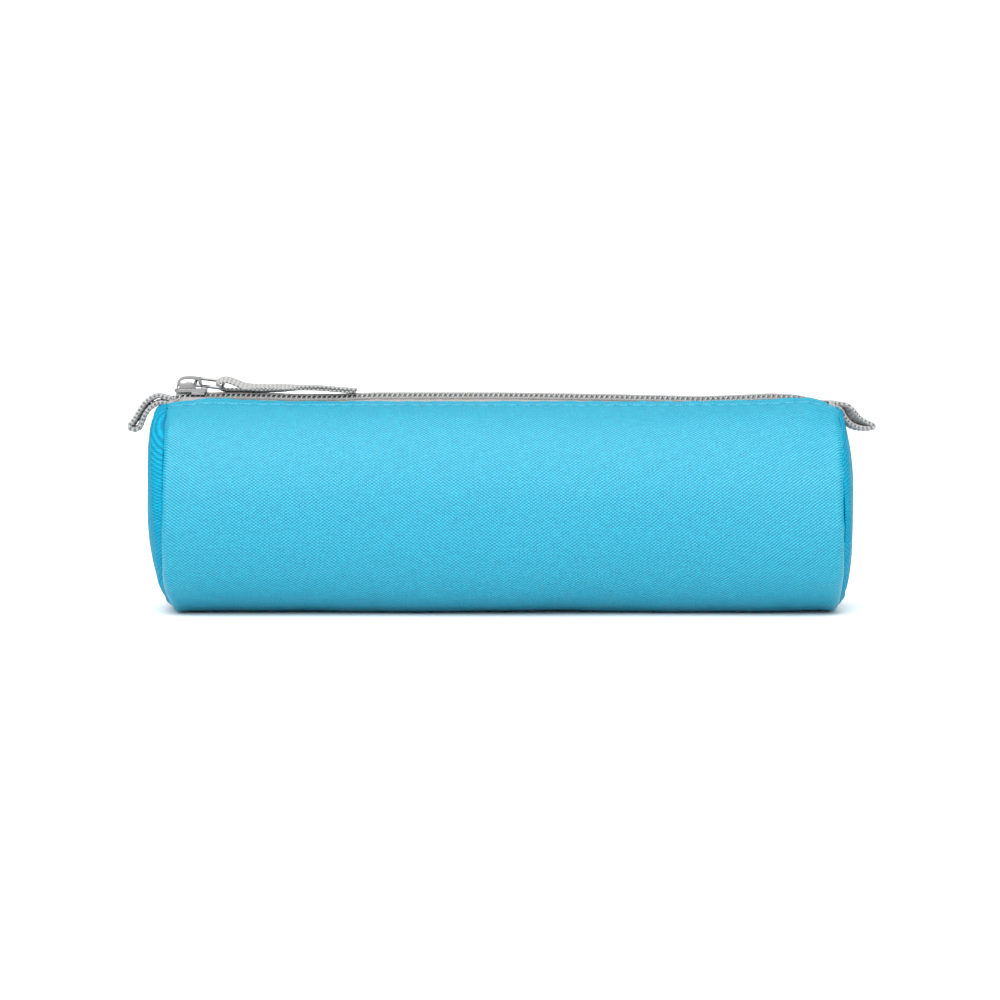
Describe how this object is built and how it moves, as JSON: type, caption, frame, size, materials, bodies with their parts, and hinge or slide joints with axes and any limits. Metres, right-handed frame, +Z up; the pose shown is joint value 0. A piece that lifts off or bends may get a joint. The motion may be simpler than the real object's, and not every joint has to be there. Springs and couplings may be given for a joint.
{
  "type": "pencil case",
  "caption": "Soft barrel pencil case of woven polyester that opens along the top with a coil zip, a slider with a webbing puller, and a folded grip tab at each end.",
  "frame": {"origin": "centre of the flat strip under the barrel that the case rests on", "axes": "+X along the case, from the end where the closed slider is parked to the other end; -Y is the front; +Z up"},
  "size_m": [0.2224, 0.064, 0.0703],
  "materials": {
    "cloth": "light blue coated woven polyester",
    "binding": "blue woven binding tape",
    "blue_thread": "blue polyester sewing thread",
    "grey_thread": "light grey sewing thread",
    "zip_tape": "light warm grey woven zip tape",
    "coil": "light grey nylon monofilament",
    "webbing": "light grey ribbed webbing",
    "nickel": "bright nickel plating"
  },
  "bodies": {
    "case": {"body_panel": "cloth", "left_end_panel": "cloth", "right_end_panel": "cloth", "left_seam_binding": "binding", "right_seam_binding": "binding", "left_seam_thread": "blue_thread", "right_seam_thread": "blue_thread", "left_zip_tack": "grey_thread", "right_zip_tack": "grey_thread"},
    "front_lip": {"front_zip_tape": "zip_tape", "front_coil": "coil", "front_coil_thread": "grey_thread", "front_topstitch": "blue_thread"},
    "rear_lip": {"rear_zip_tape": "zip_tape", "rear_coil": "coil", "rear_coil_thread": "grey_thread", "rear_topstitch": "blue_thread"},
    "slider": {"slider_body": "nickel", "slider_bridge": "nickel", "slider_lock_spring": "nickel"},
    "link": {"pull_link": "nickel"},
    "puller": {"puller_webbing": "webbing", "puller_bartack": "grey_thread"},
    "left_tab_body": {"left_tab": "webbing"},
    "right_tab_body": {"right_tab": "webbing"}
  },
  "joints": [
    {"name": "slider_travel", "type": "slide", "parent": "case", "child": "slider", "axis": [1, 0, 0], "range_m": [0, 0.18]},
    {"name": "front_lip_open", "type": "hinge", "parent": "case", "child": "front_lip", "pos_m": [0, -0.032, 0.0312], "axis": [1, 0, 0], "range_deg": [0, 22.1], "deforming": ["front_zip_tape", "front_coil", "front_coil_thread", "front_topstitch"]},
    {"name": "rear_lip_open", "type": "hinge", "parent": "case", "child": "rear_lip", "pos_m": [0, 0.032, 0.0312], "axis": [-1, 0, 0], "range_deg": [0, 22.1], "deforming": ["rear_zip_tape", "rear_coil", "rear_coil_thread", "rear_topstitch"]},
    {"name": "link_swing", "type": "hinge", "parent": "slider", "child": "link", "pos_m": [-0.092, 0, 0.06815], "axis": [0, -1, 0], "range_deg": [0, 160]},
    {"name": "puller_swing", "type": "hinge", "parent": "link", "child": "puller", "pos_m": [-0.0829, 0, 0.0678], "axis": [0, -1, 0], "range_deg": [0, 45]},
    {"name": "left_tab_flex", "type": "hinge", "parent": "case", "child": "left_tab_body", "pos_m": [-0.0999, 0, 0.063], "axis": [0, 1, 0], "range_deg": [-8, 30], "stiffness_Nm_per_rad": 0.001},
    {"name": "right_tab_flex", "type": "hinge", "parent": "case", "child": "right_tab_body", "pos_m": [0.0999, 0, 0.063], "axis": [0, -1, 0], "range_deg": [-8, 25], "stiffness_Nm_per_rad": 0.001}
  ],
  "couplings": [
    {"joint": "front_lip_open", "follows": "slider_travel", "rad_per_m": 2.1332},
    {"joint": "rear_lip_open", "follows": "slider_travel", "rad_per_m": 2.1332}
  ]
}
